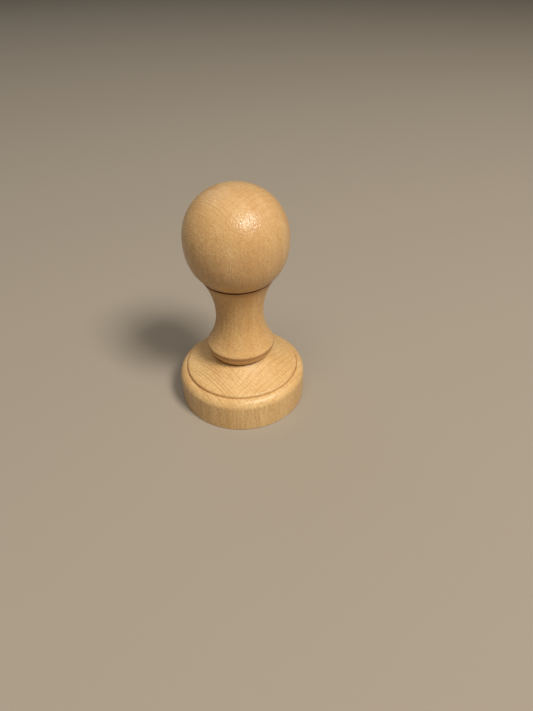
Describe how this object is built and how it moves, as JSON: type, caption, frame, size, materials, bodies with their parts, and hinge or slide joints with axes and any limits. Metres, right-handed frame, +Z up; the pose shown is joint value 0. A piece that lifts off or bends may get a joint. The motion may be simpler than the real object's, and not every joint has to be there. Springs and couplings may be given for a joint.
{
  "type": "playing pawn",
  "caption": "Turned wooden pawn: a ball head on a waisted stem with a flared foot, on a round stepped base that stands flat.",
  "frame": {"origin": "centre of the base's flat underside, on the turning axis", "axes": "+Z up along the turning axis, from the base to the ball; the body is round, so +X and +Y are any two square directions"},
  "size_m": [0.04, 0.04, 0.0694],
  "materials": {
    "head_beech": "satin clear lacquer on turned beech",
    "stem_beech": "satin clear lacquer on turned beech",
    "base_beech": "satin clear lacquer on turned beech",
    "dowel_beech": "bare beech, unfinished, fluted for glue"
  },
  "bodies": {
    "root": {"head": "head_beech", "stem": "stem_beech", "base": "base_beech", "head_dowel": "dowel_beech", "base_dowel": "dowel_beech"}
  },
  "joints": []
}
